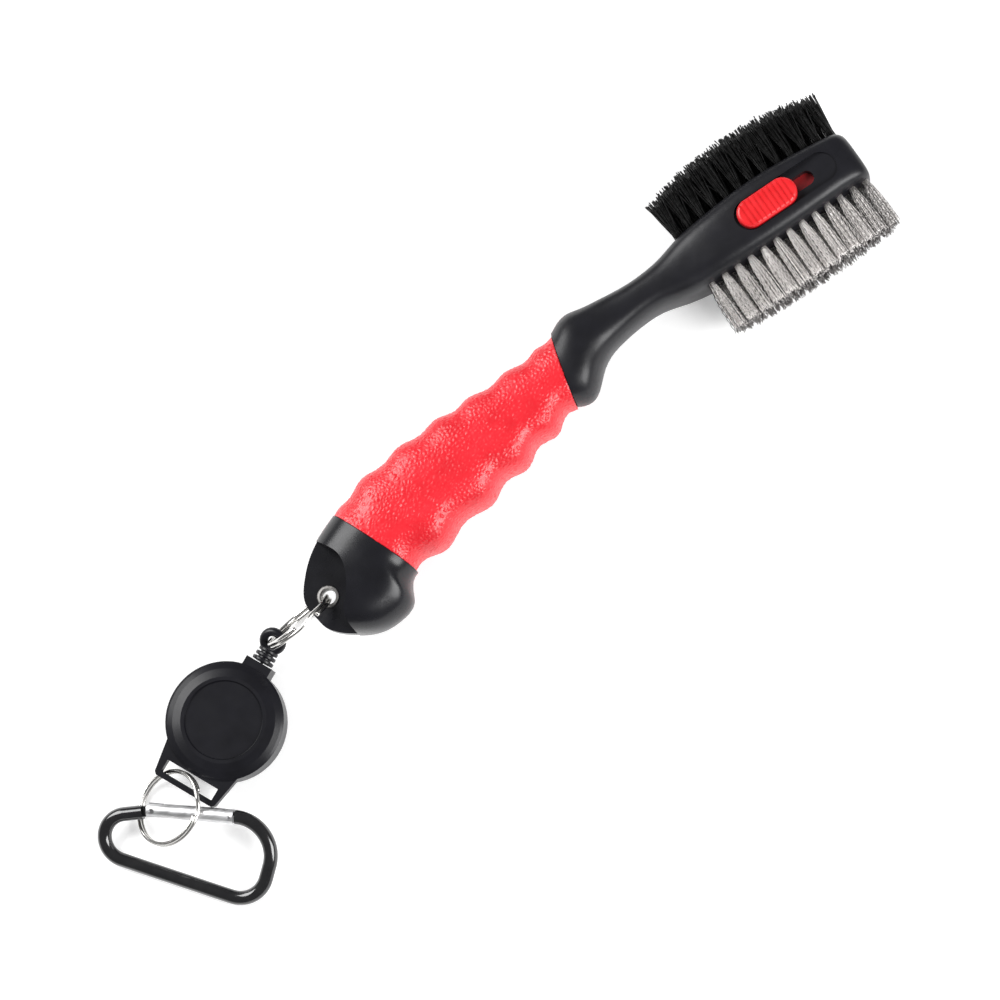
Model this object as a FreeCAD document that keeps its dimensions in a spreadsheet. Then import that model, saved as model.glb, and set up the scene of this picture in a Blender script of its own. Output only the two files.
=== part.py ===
"""Club groove brush with a sliding groove spike, on a retracting reel with a carabiner.

Row frame, in millimetres: the brush lies on its back on the plane z = 0, +X runs along the head
towards its tip, +Y towards the nylon bristles, and the origin is at the middle of the flat back
cover under the head. The handle, the reel and the carabiner trail away towards -X.
"""

import FreeCAD, Part
import Sketcher
import math
import os

V = FreeCAD.Vector
X_AXIS, Y_AXIS, Z_AXIS = V(1, 0, 0), V(0, 1, 0), V(0, 0, 1)
OVAL_POINTS = 28
BEYOND = 80

doc = FreeCAD.newDocument("ClubGrooveBrush")


# ---------------------------------------------------------------- driving dimensions

SIZES = {
    # the brush
    "mid_height": 11.75,
    "tuft_pitch": 4.25,
    "tuft_count": 13,
    "tuft_row_count": 4,
    "tuft_root_radius": 1.1,
    "tuft_tip_radius": 1.45,
    "tuft_root_depth": 6.0,
    "field_centre": 0.4,
    "field_half_length": 31,
    "field_half_depth": 7.2,
    "nylon_reach": 23.2,
    "wire_reach": 23.7,
    # the slider
    "slider_travel": 12.0,
    "slider_rest": -0.5,
    "button_length": 18.5,
    "button_width": 8.3,
    "button_height": 3.3,
    "button_rib_pitch": 1.52,
    "recess_start": -10.6,
    "recess_end": 21.8,
    "recess_width": 9.0,
    "recess_floor": 21.2,
    "slot_width": 4.2,
    "slot_end": 14.6,
    "cavity_half_length": 13.5,
    "cavity_end": 17.5,
    "shoe_run_end": 27.0,
    "cavity_width": 10.0,
    "cavity_ceiling": 18.6,
    "spike_radius": 0.8,
    "spike_height": 15.0,
    "spike_rest_tip": 27.2,
    "cover_length": 42.0,
    "cover_width": 12.6,
    "cover_thickness": 2.4,
    "screw_shank_radius": 1.1,
    "screw_head_radius": 2.0,
    "screw_length": 7.0,
    "screw_from_middle": 16.8,
    "screw_spread": 3.2,
    # the handle, in its own frame
    "handle_x": -112.2,
    "handle_y": -9.5,
    "handle_turn": 8.5,
    "neck_seam": 40.6,
    "neck_seam_slant": 22.6,
    "cap_seam": -31.5,
    "cap_seam_slant": 14.2,
    "tang_width": 11.0,
    "tang_depth": 9.0,
    "tang_end": -37.0,
    "tang_middle": -1.0,
    "grip_step": 2.5,
    "web_thickness": 3.0,
    "eyelet_x": -50.6,
    "eyelet_y": -3.8,
    "eyelet_bore": 2.2,
    "eyelet_flange": 3.2,
    "eyelet_wall": 0.35,
    # both split rings
    "ring_radius": 10.4,
    "ring_wire": 0.6,
    "ring_lean": 20.0,
    "ring_heading": 185.8,
    "ring_centre_height": 10.8,
    "hook_ring_lean": 30.0,
    # the reel, in its own frame
    "reel_turn": 26.0,
    "reel_radius": 16.75,
    "reel_thickness": 9.5,
    "reel_parting": 7.4,
    "reel_wall": 1.3,
    "post_radius": 2.0,
    "spool_radius": 13.6,
    "drum_radius": 8.0,
    "cord_radius": 0.45,
    "mouth_front": 18.9,
    "loop_x": 25.9,
    "loop_ring_radius": 2.72,
    "loop_wire": 1.25,
    "loop_tilt": 26.0,
    "lug_bottom": 5.0,
    "lug_thickness": 2.4,
    "lug_end": 22.4,
    "slot_near": 17.2,
    "slot_far": 20.75,
    "slot_half_length": 8.3,
    # the carabiner, in its own frame
    "carabiner_x": -230.1,
    "carabiner_y": -53.2,
    "carabiner_turn": -52.0,
    "carabiner_tilt": 18.0,
    "rod_radius": 2.0,
    "gate_radius": 2.1,
    "gate_length": 23.3,
    "gate_turn": 13.4,
    "gate_opening": 28.0,
    "pin_radius": 0.7,
    "running_gap": 0.05,
}

sheet = doc.addObject("Spreadsheet::Sheet", "Sizes")
for row, (alias, number) in enumerate(SIZES.items(), 1):
    sheet.set(f"A{row}", alias.replace("_", " "))
    sheet.set(f"B{row}", str(number))
    sheet.setAlias(f"B{row}", alias)
doc.recompute()


def value(expression):
    """The number that an expression on the sheet gives now."""
    return float(sheet.evalExpression(str(expression)))


def size(alias):
    return value(f"Sizes.{alias}")


# ---------------------------------------------------------------- drawing helpers

def new_body(label):
    return doc.addObject("PartDesign::Body", label)


def new_sketch(body, role, name, height="0"):
    """A sketch on one of its body's origin planes, lifted along the plane's normal."""
    plane = next(f for f in body.Origin.OriginFeatures if f.Role == role)
    sketch = body.newObject("Sketcher::SketchObject", name)
    sketch.AttachmentSupport = [(plane, "")]
    sketch.MapMode = "FlatFace"
    sketch.setExpression("AttachmentOffset.Base.z", str(height))
    return sketch


def bind(sketch, kind, places, expression):
    """A dimension of a sketch that follows an expression."""
    index = sketch.addConstraint(Sketcher.Constraint(kind, *places, value(expression)))
    sketch.setExpression(f"Constraints[{index}]", str(expression))


def draw_circle(sketch, radius, x="0", y="0"):
    circle = Part.Circle(V(value(x), value(y), 0), Z_AXIS, value(radius))
    edge = sketch.addGeometry(circle, False)
    bind(sketch, "Radius", (edge,), radius)
    bind(sketch, "DistanceX", (-1, 1, edge, 3), x)
    bind(sketch, "DistanceY", (-1, 1, edge, 3), y)


def draw_polygon(sketch, corners):
    """A closed outline of straight edges, each corner bound to its two expressions."""
    points = [V(value(x), value(y), 0) for x, y in corners]
    edges = []
    for start, end in zip(points, points[1:] + points[:1]):
        edges.append(sketch.addGeometry(Part.LineSegment(start, end), False))
    for edge, following in zip(edges, edges[1:] + edges[:1]):
        sketch.addConstraint(Sketcher.Constraint("Coincident", edge, 2, following, 1))
    for edge, (x, y) in zip(edges, corners):
        bind(sketch, "DistanceX", (-1, 1, edge, 1), x)
        bind(sketch, "DistanceY", (-1, 1, edge, 1), y)


def draw_rectangle(sketch, low, high):
    draw_polygon(sketch, [low, (high[0], low[1]), high, (low[0], high[1])])


def draw_stadium(sketch, start, end, radius, y="0"):
    """A slot outline along the sketch's X, between the centres of its two round ends."""
    left, right, reach, level = value(start), value(end), value(radius), value(y)
    arcs = []
    for centre, turn in ((left, 0.5), (right, -0.5)):
        circle = Part.Circle(V(centre, level, 0), Z_AXIS, reach)
        arc = Part.ArcOfCircle(circle, turn * math.pi, (turn + 1) * math.pi)
        arcs.append(sketch.addGeometry(arc, False))
    lower = Part.LineSegment(V(left, level - reach, 0), V(right, level - reach, 0))
    upper = Part.LineSegment(V(right, level + reach, 0), V(left, level + reach, 0))
    lower, upper = sketch.addGeometry(lower, False), sketch.addGeometry(upper, False)
    left_arc, right_arc = arcs
    for edge, at, other, other_at in (
        (left_arc, 2, lower, 1),
        (lower, 2, right_arc, 1),
        (right_arc, 2, upper, 1),
        (upper, 2, left_arc, 1),
    ):
        sketch.addConstraint(Sketcher.Constraint("Tangent", edge, at, other, other_at))
    bind(sketch, "Radius", (left_arc,), radius)
    bind(sketch, "DistanceX", (-1, 1, left_arc, 3), start)
    bind(sketch, "DistanceX", (-1, 1, right_arc, 3), end)
    bind(sketch, "DistanceY", (-1, 1, left_arc, 3), y)


def pad(body, sketch, length, name, towards_normal=True):
    feature = body.newObject("PartDesign::Pad", name)
    feature.Profile = sketch
    feature.setExpression("Length", str(length))
    feature.Reversed = not towards_normal
    return feature


def pocket(body, sketch, length, name, towards_normal=False):
    """A pocket, checked to remove something."""
    doc.recompute()
    before = body.Shape.Volume
    feature = body.newObject("PartDesign::Pocket", name)
    feature.Profile = sketch
    feature.setExpression("Length", str(length))
    feature.Reversed = towards_normal
    doc.recompute()
    if body.Shape.Volume > before - 1e-3:
        raise RuntimeError(f"{name} removes nothing")
    return feature


def revolve(body, sketch, name):
    """A full turn of a profile about the body's Z axis, which is the sketch's vertical one."""
    feature = body.newObject("PartDesign::Revolution", name)
    feature.Profile = sketch
    feature.ReferenceAxis = (sketch, ["V_Axis"])
    feature.Angle = 360
    return feature


def turned(label, corners):
    """A body turned from a straight-edged profile of (radius, height) corners."""
    body = new_body(label)
    sketch = new_sketch(body, "XZ_Plane", f"{label}_profile")
    draw_polygon(sketch, corners)
    revolve(body, sketch, f"{label}_turning")
    return body


def oval(across, up, half_across, half_up, squareness):
    """A closed curve that is an ellipse at squareness 2 and nears a rectangle as it grows.

    Its points start a quarter step round, so that none of them lies on an axis.
    """
    points = []
    for step in range(OVAL_POINTS):
        turn = 2 * math.pi * (step + 0.25) / OVAL_POINTS
        c, s = math.cos(turn), math.sin(turn)
        x = math.copysign(abs(c) ** (2 / squareness), c)
        y = math.copysign(abs(s) ** (2 / squareness), s)
        points.append(V(across + half_across * x, up + half_up * y, 0))
    curve = Part.BSplineCurve()
    curve.interpolate(points, PeriodicFlag=True)
    return curve


def loft(body, stations, name):
    """A loft along X through ovals: (x, centre y, half width, low z, high z, squareness)."""
    sections = []
    for number, (x, middle, half_width, low, high, squareness) in enumerate(stations, 1):
        sketch = new_sketch(body, "YZ_Plane", f"{name}_section_{number}", x)
        curve = oval(middle, (low + high) / 2, half_width, (high - low) / 2, squareness)
        sketch.addGeometry(curve, False)
        sections.append(sketch)
    feature = body.newObject("PartDesign::AdditiveLoft", name)
    feature.Profile = sections[0]
    feature.Sections = sections[1:]
    doc.recompute()
    return feature


def blend_through(knots, x):
    """A smooth value at x through knots of (x, value), by cubic Hermite pieces."""
    slopes = []
    for number, (here, level) in enumerate(knots):
        before = knots[max(number - 1, 0)]
        after = knots[min(number + 1, len(knots) - 1)]
        slopes.append((after[1] - before[1]) / (after[0] - before[0]))
    last = len(knots) - 2
    piece = max(k for k in range(last + 1) if k == 0 or knots[k][0] <= x)
    (x0, y0), (x1, y1) = knots[piece], knots[piece + 1]
    span = x1 - x0
    along = (x - x0) / span
    rise = along * along * (3 - 2 * along)
    lead = along * (1 - along) ** 2 * slopes[piece]
    trail = along * along * (along - 1) * slopes[piece + 1]
    return y0 + (y1 - y0) * rise + span * (lead + trail)


def combine(kind, label, first, second):
    """A two-operand boolean of document objects: Cut, Fuse or Common."""
    feature = doc.addObject(f"Part::{kind}", label)
    feature.Base, feature.Tool = first, second
    return feature


def cylinder(label, radius, height, base=V(0, 0, 0), direction=Z_AXIS):
    feature = doc.addObject("Part::Cylinder", label)
    feature.setExpression("Radius", str(radius))
    feature.setExpression("Height", str(height))
    feature.Placement = FreeCAD.Placement(base, FreeCAD.Rotation(Z_AXIS, direction))
    return feature


def box(label, length, width, height, corner):
    feature = doc.addObject("Part::Box", label)
    for name, expression in (("Length", length), ("Width", width), ("Height", height)):
        feature.setExpression(name, str(expression))
    feature.Placement.Base = corner
    return feature


# ---------------------------------------------------------------- frames of the sub-assemblies

HANDLE = FreeCAD.Placement(
    V(size("handle_x"), size("handle_y"), size("mid_height")),
    FreeCAD.Rotation(Z_AXIS, size("handle_turn")),
)
EYELET = HANDLE.multVec(V(size("eyelet_x"), size("eyelet_y"), 0))


RING_SLACK = 0.25


def brush_ring_frame():
    """The frame of the ring in the eyelet: its X heads from the eyelet to the cord's loop.

    The wire stands in the eyelet's bore, off its middle by the slack towards the loop.
    """
    turn = FreeCAD.Rotation(Z_AXIS, size("ring_heading"))
    turn = turn * FreeCAD.Rotation(X_AXIS, 90 - size("ring_lean"))
    heading, rise = turn.multVec(X_AXIS), turn.multVec(Y_AXIS)
    radius, height = size("ring_radius"), size("ring_centre_height")
    at_eyelet = (size("mid_height") - height) / (radius * rise.z)
    back = radius * math.sqrt(1 - at_eyelet ** 2) + RING_SLACK
    centre = EYELET + heading * back - rise * (radius * at_eyelet)
    return FreeCAD.Placement(V(centre.x, centre.y, height), turn)


BRUSH_RING = brush_ring_frame()
LOOP_TURN = -math.radians(size("loop_tilt"))
LOOP = BRUSH_RING.multVec(
    V(math.cos(LOOP_TURN), math.sin(LOOP_TURN), 0) * size("ring_radius")
)
REEL_TURN = FreeCAD.Rotation(Z_AXIS, size("reel_turn"))
REEL_BASE = LOOP - REEL_TURN.multVec(V(size("loop_x"), 0, 0))
REEL = FreeCAD.Placement(V(REEL_BASE.x, REEL_BASE.y, 0), REEL_TURN)
HOOK_RING_CENTRE = V(-231.1, -43.6, 6.4)
HOOK_RING = FreeCAD.Placement(
    HOOK_RING_CENTRE,
    FreeCAD.Rotation(Z_AXIS, size("carabiner_turn"))
    * FreeCAD.Rotation(Y_AXIS, -size("hook_ring_lean")),
)
SPINE_OFFSET = 13.1
CARABINER_TURN = FreeCAD.Rotation(Z_AXIS, size("carabiner_turn")) * FreeCAD.Rotation(
    X_AXIS, size("carabiner_tilt")
)
CARABINER = FreeCAD.Placement(
    V(
        size("carabiner_x"),
        size("carabiner_y"),
        size("rod_radius") + SPINE_OFFSET * math.sin(math.radians(size("carabiner_tilt"))),
    ),
    CARABINER_TURN,
)
HINGE_POINT = V(-12.0, 3.3, 0)
GATE = CARABINER.multiply(
    FreeCAD.Placement(HINGE_POINT, FreeCAD.Rotation(Z_AXIS, size("gate_turn")))
)


# ---------------------------------------------------------------- frame of the brush

HEAD_STATIONS = (
    # x, centre y, half width, low z, high z, squareness
    (28.2, -1.2, 6.0, 4.6, 17.8, 4.0),
    (27.7, -1.0, 7.1, 3.4, 18.9, 4.5),
    (26.4, -0.7, 7.8, 2.1, 20.0, 5.0),
    (23.0, -0.4, 8.2, 0.3, 21.2, 5.0),
    (18.0, -0.3, 8.5, -0.6, 22.3, 5.0),
    (9.0, -0.1, 9.1, -0.8, 22.9, 5.0),
    (0.0, 0.0, 9.4, -0.8, 23.0, 5.0),
    (-10.0, -0.1, 9.2, -0.8, 22.9, 4.8),
    (-20.0, -0.3, 8.7, -0.5, 22.2, 4.2),
    (-27.0, -0.5, 8.1, 0.9, 21.2, 3.6),
    (-33.0, -0.8, 6.9, 2.3, 20.6, 3.2),
    (-40.0, -0.4, 5.6, 3.2, 20.2, 3.0),
    (-47.0, -0.3, 5.6, 3.6, 19.9, 3.0),
    (-54.0, -0.3, 6.5, 3.6, 19.9, 3.0),
    (-59.0, -0.6, 7.6, 3.1, 20.4, 2.8),
    (-63.0, -1.4, 9.3, 2.2, 21.3, 2.6),
    (-66.5, -3.3, 10.7, 1.6, 21.9, 2.5),
    (-70.0, -5.2, 10.9, 1.5, 22.0, 2.4),
    (-74.0, -5.5, 9.9, 1.8, 21.7, 2.4),
    (-80.0, -5.2, 9.3, 2.0, 21.5, 2.4),
)


def seam_side(seam, slant, beyond):
    """Corners, in the handle's frame, of all that lies beyond a slanted seam across it."""
    lean = math.tan(math.radians(slant))
    reach = BEYOND / 2
    far = beyond * BEYOND
    return [
        (seam + reach * lean, reach),
        (seam - reach * lean, -reach),
        (seam + far, -reach),
        (seam + far, reach),
    ]


def in_row_plan(corners):
    """Plan corners of the handle's frame in the row's own frame, as sketch expressions."""
    points = [HANDLE.multVec(V(x, y, 0)) for x, y in corners]
    return [(f"{p.x:.4f}", f"{p.y:.4f}") for p in points]


TIP_DROOP, DROOP_START = 0.045, 8


def tuft_places():
    """The (x, z) of each tuft: staggered rows, drawn together towards the head's ends."""
    rows = int(size("tuft_row_count"))
    for row in range(rows):
        count = int(size("tuft_count")) - (row + 1) % 2
        for number in range(count):
            along = (number - (count - 1) / 2) * size("tuft_pitch")
            half_depth = size("field_half_depth") * math.sqrt(
                1 - (along / size("field_half_length")) ** 2
            )
            middle = size("mid_height") - TIP_DROOP * max(0, along - DROOP_START)
            yield size("field_centre") + along, middle + half_depth * (2 * row / (rows - 1) - 1)


def cut_tuft_holes(body, side):
    """Blind round holes for the tufts of one side, from their floor out through the wall."""
    name = "nylon" if side > 0 else "wire"
    sketch = new_sketch(
        body, "XZ_Plane", f"{name}_holes_plan", f"-{side} * Sizes.tuft_root_depth"
    )
    for x, z in tuft_places():
        circle = Part.Circle(V(x, z, 0), Z_AXIS, size("tuft_root_radius"))
        sketch.addGeometry(circle, False)
    pocket(body, sketch, "8", f"{name}_holes", towards_normal=side < 0)


TANG_OVERLAP = 6
SHOE_THICKNESS = 1.6


def brush_frame():
    """The head, neck and tang: one moulding, hollowed for the slider and drilled for the tufts."""
    body = new_body("head_and_neck")
    loft(body, HEAD_STATIONS, "head_loft")

    table = new_sketch(body, "XY_Plane", "table_plan")
    draw_rectangle(table, (f"-{BEYOND}", f"-{BEYOND}"), (f"{BEYOND}", f"{BEYOND}"))
    pocket(body, table, "5", "flat_back")

    recess = new_sketch(body, "XY_Plane", "recess_plan", "Sizes.recess_floor")
    draw_stadium(
        recess,
        "Sizes.recess_start + Sizes.recess_width / 2",
        "Sizes.recess_end - Sizes.recess_width / 2",
        "Sizes.recess_width / 2",
    )
    pocket(body, recess, "5", "recess", towards_normal=True)

    cover_seat = new_sketch(body, "XY_Plane", "cover_seat_plan")
    draw_stadium(
        cover_seat,
        "-(Sizes.cover_length - Sizes.cover_width) / 2",
        "(Sizes.cover_length - Sizes.cover_width) / 2",
        "Sizes.cover_width / 2",
    )
    pocket(body, cover_seat, "Sizes.cover_thickness", "cover_seat", towards_normal=True)

    cavity = new_sketch(body, "XY_Plane", "cavity_plan")
    half_width = "Sizes.cavity_width / 2"
    draw_rectangle(
        cavity,
        ("-Sizes.cavity_half_length", f"-{half_width}"),
        ("Sizes.cavity_half_length", half_width),
    )
    pocket(body, cavity, "Sizes.cavity_ceiling", "cavity", towards_normal=True)

    run_out = new_sketch(body, "YZ_Plane", "run_out_plan")
    draw_rectangle(
        run_out,
        (f"-{half_width}", "Sizes.spike_height - 3"),
        (half_width, "Sizes.cavity_ceiling"),
    )
    pocket(body, run_out, "Sizes.cavity_end", "run_out", towards_normal=True)

    shoe_run = new_sketch(body, "YZ_Plane", "shoe_run_plan")
    draw_rectangle(
        shoe_run,
        (f"-{half_width}", f"Sizes.cavity_ceiling - {SHOE_THICKNESS} - 0.3"),
        (half_width, "Sizes.cavity_ceiling"),
    )
    pocket(body, shoe_run, "Sizes.shoe_run_end", "shoe_run", towards_normal=True)

    slot = new_sketch(body, "XY_Plane", "slot_plan", "Sizes.cavity_ceiling - 1")
    draw_stadium(
        slot,
        "Sizes.slider_rest - 0.1",
        "Sizes.slot_end - Sizes.slot_width / 2",
        "Sizes.slot_width / 2",
    )
    pocket(body, slot, "6", "slot", towards_normal=True)

    spike_hole = new_sketch(body, "YZ_Plane", "spike_hole_plan", "Sizes.cavity_end - 1")
    draw_circle(
        spike_hole,
        "Sizes.spike_radius + Sizes.running_gap",
        "0",
        "Sizes.spike_height",
    )
    pocket(body, spike_hole, "12", "spike_hole", towards_normal=True)

    screw_holes = new_sketch(body, "XY_Plane", "screw_holes_plan")
    for side in "-", "":
        draw_circle(
            screw_holes,
            "Sizes.screw_shank_radius",
            "-Sizes.screw_from_middle",
            f"{side}Sizes.screw_spread",
        )
    pocket(body, screw_holes, "Sizes.screw_length + 1.5", "screw_holes", towards_normal=True)

    for side in 1, -1:
        cut_tuft_holes(body, side)

    trim = new_sketch(body, "XY_Plane", "neck_seam_plan")
    draw_polygon(
        trim, in_row_plan(seam_side(size("neck_seam"), size("neck_seam_slant"), -1))
    )
    pocket(body, trim, "60", "neck_seam_cut", towards_normal=True)

    tang = box(
        "tang",
        f"Sizes.neck_seam + {TANG_OVERLAP} - Sizes.tang_end",
        "Sizes.tang_width",
        "Sizes.tang_depth",
        V(),
    )
    tang.Placement = HANDLE.multiply(
        FreeCAD.Placement(
            V(
                size("tang_end"),
                size("tang_middle") - size("tang_width") / 2,
                -size("tang_depth") / 2,
            ),
            FreeCAD.Rotation(),
        )
    )
    return combine("Fuse", "brush_frame", body, tang)


# ---------------------------------------------------------------- bristles

def half_width_at(x):
    """The head's half width where the tufts stand."""
    knots = [(row[0], row[2]) for row in reversed(HEAD_STATIONS)]
    return blend_through(knots, x)


def shape_feature(label, shape, placement=FreeCAD.Placement()):
    feature = doc.addObject("Part::Feature", label)
    feature.Shape = shape
    feature.Placement = placement
    return feature


NYLON_BOW, WIRE_BOW = 0.0045, 0.0015


def bristles(label, side, reach_name, bow_rate):
    """The straight roots that fill the holes, and the flared tufts that stand out of them.

    The trimmed tips lie on a bowed surface, lower towards the head's ends by the bow rate.
    """
    floor = size("tuft_root_depth") + 0.5
    tufts = []
    for x, z in tuft_places():
        mouth = half_width_at(x) + 0.1
        bow = bow_rate * (x - size("field_centre")) ** 2
        direction = V(0, side, 0)
        root = Part.makeCylinder(
            size("tuft_root_radius"), mouth - floor, V(x, side * floor, z), direction
        )
        flare = Part.makeCone(
            size("tuft_root_radius"),
            size("tuft_tip_radius"),
            size(reach_name) - bow - mouth,
            V(x, side * mouth, z),
            direction,
        )
        tufts.append(root.fuse(flare).removeSplitter())
    return shape_feature(label, Part.makeCompound(tufts))


def tuft_anchors(label, side):
    """One flat staple at the floor of each tuft's hole."""
    floor = size("tuft_root_depth")
    width, thickness, depth = 1.7, 0.4, 0.5
    staples = []
    for x, z in tuft_places():
        low = floor if side > 0 else -floor - depth
        corner = V(x - width / 2, low, z - thickness / 2)
        staples.append(Part.makeBox(width, depth, thickness, corner))
    return shape_feature(label, Part.makeCompound(staples))


# ---------------------------------------------------------------- slider and back cover

BUTTON_ROUNDING = 1.1
STEM_FIT, STEM_LENGTH = 0.1, 3.8
RIB_COUNT, FIRST_VALLEY, VALLEY_DEPTH, VALLEY_FLOOR, VALLEY_SLOPE = 10, -6.85, 0.3, 0.4, 0.3


def slider_button():
    body = new_body("slider_button")
    plan = new_sketch(body, "XY_Plane", "button_plan", "Sizes.recess_floor + 0.1")
    half = "(Sizes.button_length - Sizes.button_width) / 2"
    draw_stadium(
        plan,
        f"Sizes.slider_rest - {half}",
        f"Sizes.slider_rest + {half}",
        "Sizes.button_width / 2",
    )
    block = pad(body, plan, "Sizes.button_height", "button_block")
    doc.recompute()

    top = size("recess_floor") + 0.1 + size("button_height")
    rim = [
        f"Edge{number}"
        for number, edge in enumerate(block.Shape.Edges, 1)
        if abs(edge.BoundBox.ZMin - top) < 1e-3 and abs(edge.BoundBox.ZMax - top) < 1e-3
    ]
    rounding = body.newObject("PartDesign::Fillet", "button_rounding")
    rounding.Base = (block, rim)
    rounding.Radius = BUTTON_ROUNDING

    stem = new_sketch(body, "XY_Plane", "stem_plan", "Sizes.recess_floor + 0.1")
    draw_circle(stem, f"Sizes.slot_width / 2 - {STEM_FIT}", "Sizes.slider_rest")
    pad(body, stem, STEM_LENGTH, "button_stem", towards_normal=False)

    groove = new_sketch(body, "XZ_Plane", "rib_plan", "-Sizes.button_width / 2 - 1")
    middle, face = f"Sizes.slider_rest + {FIRST_VALLEY}", "Sizes.recess_floor + Sizes.button_height"
    narrow, wide = VALLEY_FLOOR / 2, VALLEY_FLOOR / 2 + VALLEY_SLOPE
    draw_polygon(
        groove,
        [
            (f"{middle} - {wide}", f"{face} + 1"),
            (f"{middle} - {narrow}", f"{face} - {VALLEY_DEPTH}"),
            (f"{middle} + {narrow}", f"{face} - {VALLEY_DEPTH}"),
            (f"{middle} + {wide}", f"{face} + 1"),
        ],
    )
    valley = pocket(
        body, groove, "Sizes.button_width + 2", "rib_valley", towards_normal=True
    )
    ribs = body.newObject("PartDesign::LinearPattern", "ribs")
    ribs.Originals = [valley]
    ribs.Direction = (groove, ["H_Axis"])
    ribs.setExpression("Length", f"Sizes.button_rib_pitch * {RIB_COUNT - 1}")
    ribs.Occurrences = RIB_COUNT
    body.Tip = ribs
    return body


SHOE_BACK, SHOE_FRONT, SHOE_HALF_WIDTH = -9.5, 14.8, 4.6
BLOCK_HALF_LENGTH, BLOCK_DEPTH = 4, 2.2


def slider_carrier():
    """The shoe under the head's wall, with a block below it that holds the spike."""
    body = new_body("slider_carrier")
    side = new_sketch(body, "XZ_Plane", "shoe_side", -SHOE_HALF_WIDTH)
    top = "Sizes.cavity_ceiling - 0.1"
    under = f"{top} - {SHOE_THICKNESS}"
    block_floor = f"Sizes.spike_height - {BLOCK_DEPTH}"
    draw_polygon(
        side,
        [
            (f"{SHOE_BACK}", under),
            (f"-{BLOCK_HALF_LENGTH}", under),
            (f"-{BLOCK_HALF_LENGTH}", block_floor),
            (f"{BLOCK_HALF_LENGTH}", block_floor),
            (f"{BLOCK_HALF_LENGTH}", under),
            (f"{SHOE_FRONT}", under),
            (f"{SHOE_FRONT}", top),
            (f"{SHOE_BACK}", top),
        ],
    )
    pad(body, side, 2 * SHOE_HALF_WIDTH, "shoe")
    doc.recompute()
    socket = new_sketch(body, "XY_Plane", "socket_plan", top)
    draw_circle(socket, f"Sizes.slot_width / 2 - {STEM_FIT}", "Sizes.slider_rest")
    pocket(body, socket, "1.1", "button_socket")
    bore = new_sketch(body, "YZ_Plane", "spike_bore_plan", "-3")
    draw_circle(bore, "Sizes.spike_radius", "0", "Sizes.spike_height")
    pocket(body, bore, "12", "spike_bore", towards_normal=True)
    return body


SPIKE_START, SPIKE_TAPER, SPIKE_POINT_RADIUS = -3.0, 4.0, 0.15


def groove_spike():
    """A round steel pick that tapers to a point."""
    start, tip, taper = SPIKE_START, size("spike_rest_tip"), SPIKE_TAPER
    base = V(start, 0, size("spike_height"))
    length = f"Sizes.spike_rest_tip - {taper + start}"
    shank = cylinder("spike_shank", "Sizes.spike_radius", length, base, X_AXIS)
    point = doc.addObject("Part::Cone", "spike_point")
    point.setExpression("Radius1", "Sizes.spike_radius")
    point.Radius2 = SPIKE_POINT_RADIUS
    point.Height = taper
    point.Placement = FreeCAD.Placement(
        V(tip - taper, 0, size("spike_height")), FreeCAD.Rotation(Z_AXIS, X_AXIS)
    )
    return combine("Fuse", "groove_spike", shank, point)


COUNTERBORE_DEPTH = 1.3


def head_back_cover():
    body = new_body("head_back_cover")
    plan = new_sketch(body, "XY_Plane", "cover_plan")
    straight = "(Sizes.cover_length - Sizes.cover_width) / 2"
    draw_stadium(plan, f"-{straight}", straight, "Sizes.cover_width / 2")
    pad(body, plan, "Sizes.cover_thickness", "cover_plate")
    for depth, radius, name in (
        ("Sizes.cover_thickness", "Sizes.screw_shank_radius", "clearance"),
        (COUNTERBORE_DEPTH, "Sizes.screw_head_radius", "counterbore"),
    ):
        holes = new_sketch(body, "XY_Plane", f"{name}_plan")
        for side in "-", "":
            draw_circle(
                holes, radius, "-Sizes.screw_from_middle", f"{side}Sizes.screw_spread"
            )
        pocket(body, holes, depth, name, towards_normal=True)
    return body


def cover_screws():
    """Two self-tapping screws with cross-slotted pan heads, sunk in the cover."""
    head_height, slot_long, slot_wide, slot_floor = 1.0, 2.4, 0.5, 0.9
    screws = []
    for side in -1, 1:
        place = V(-size("screw_from_middle"), side * size("screw_spread"), 0)
        seat = place + V(0, 0, COUNTERBORE_DEPTH)
        head = Part.makeCylinder(size("screw_head_radius"), head_height, seat, -Z_AXIS)
        screw = head.fuse(
            Part.makeCylinder(size("screw_shank_radius"), size("screw_length"), seat)
        )
        for length, width in ((slot_long, slot_wide), (slot_wide, slot_long)):
            corner = place + V(-length / 2, -width / 2, 0)
            screw = screw.cut(Part.makeBox(length, width, slot_floor, corner))
        screws.append(screw)
    return shape_feature("cover_screws", Part.makeCompound(screws))


# ---------------------------------------------------------------- grip and end cap

GRIP_TOP = ((-42, 9.6), (-35, 11.9), (-28, 13.5), (-20, 13.9), (-10, 13.6), (0, 12.8),
            (10, 11.4), (20, 9.9), (30, 8.8), (40, 8.2), (50, 8.2))
GRIP_BOTTOM = ((-42, -14.0), (-35, -14.1), (-28, -14.5), (-20, -14.8), (-10, -14.4), (0, -14.1),
               (10, -13.6), (20, -12.8), (30, -11.7), (40, -11.0), (50, -11.2))
GRIP_HALF_DEPTH = ((-42, 11.2), (-28, 11.4), (-15, 11.5), (0, 11.2), (15, 10.5), (30, 9.9),
                   (42, 9.8), (50, 9.8))
GRIP_SQUARENESS = ((-42, 2.3), (-30, 2.4), (-20, 3.0), (0, 3.1), (24, 3.0), (36, 2.5), (50, 2.4))
GRIP_START, GRIP_LENGTH = -42, 94
TOP_CRESTS, TOP_WAVE_HEIGHT = (-34.5, -21.75, -8.5, 4.5, 15.0, 27.5, 39.0), 0.55
BOTTOM_CRESTS, BOTTOM_WAVE_HEIGHT = (-31.5, -17.0, 0.5, 14.5, 27.0, 38.0), 0.95


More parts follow.
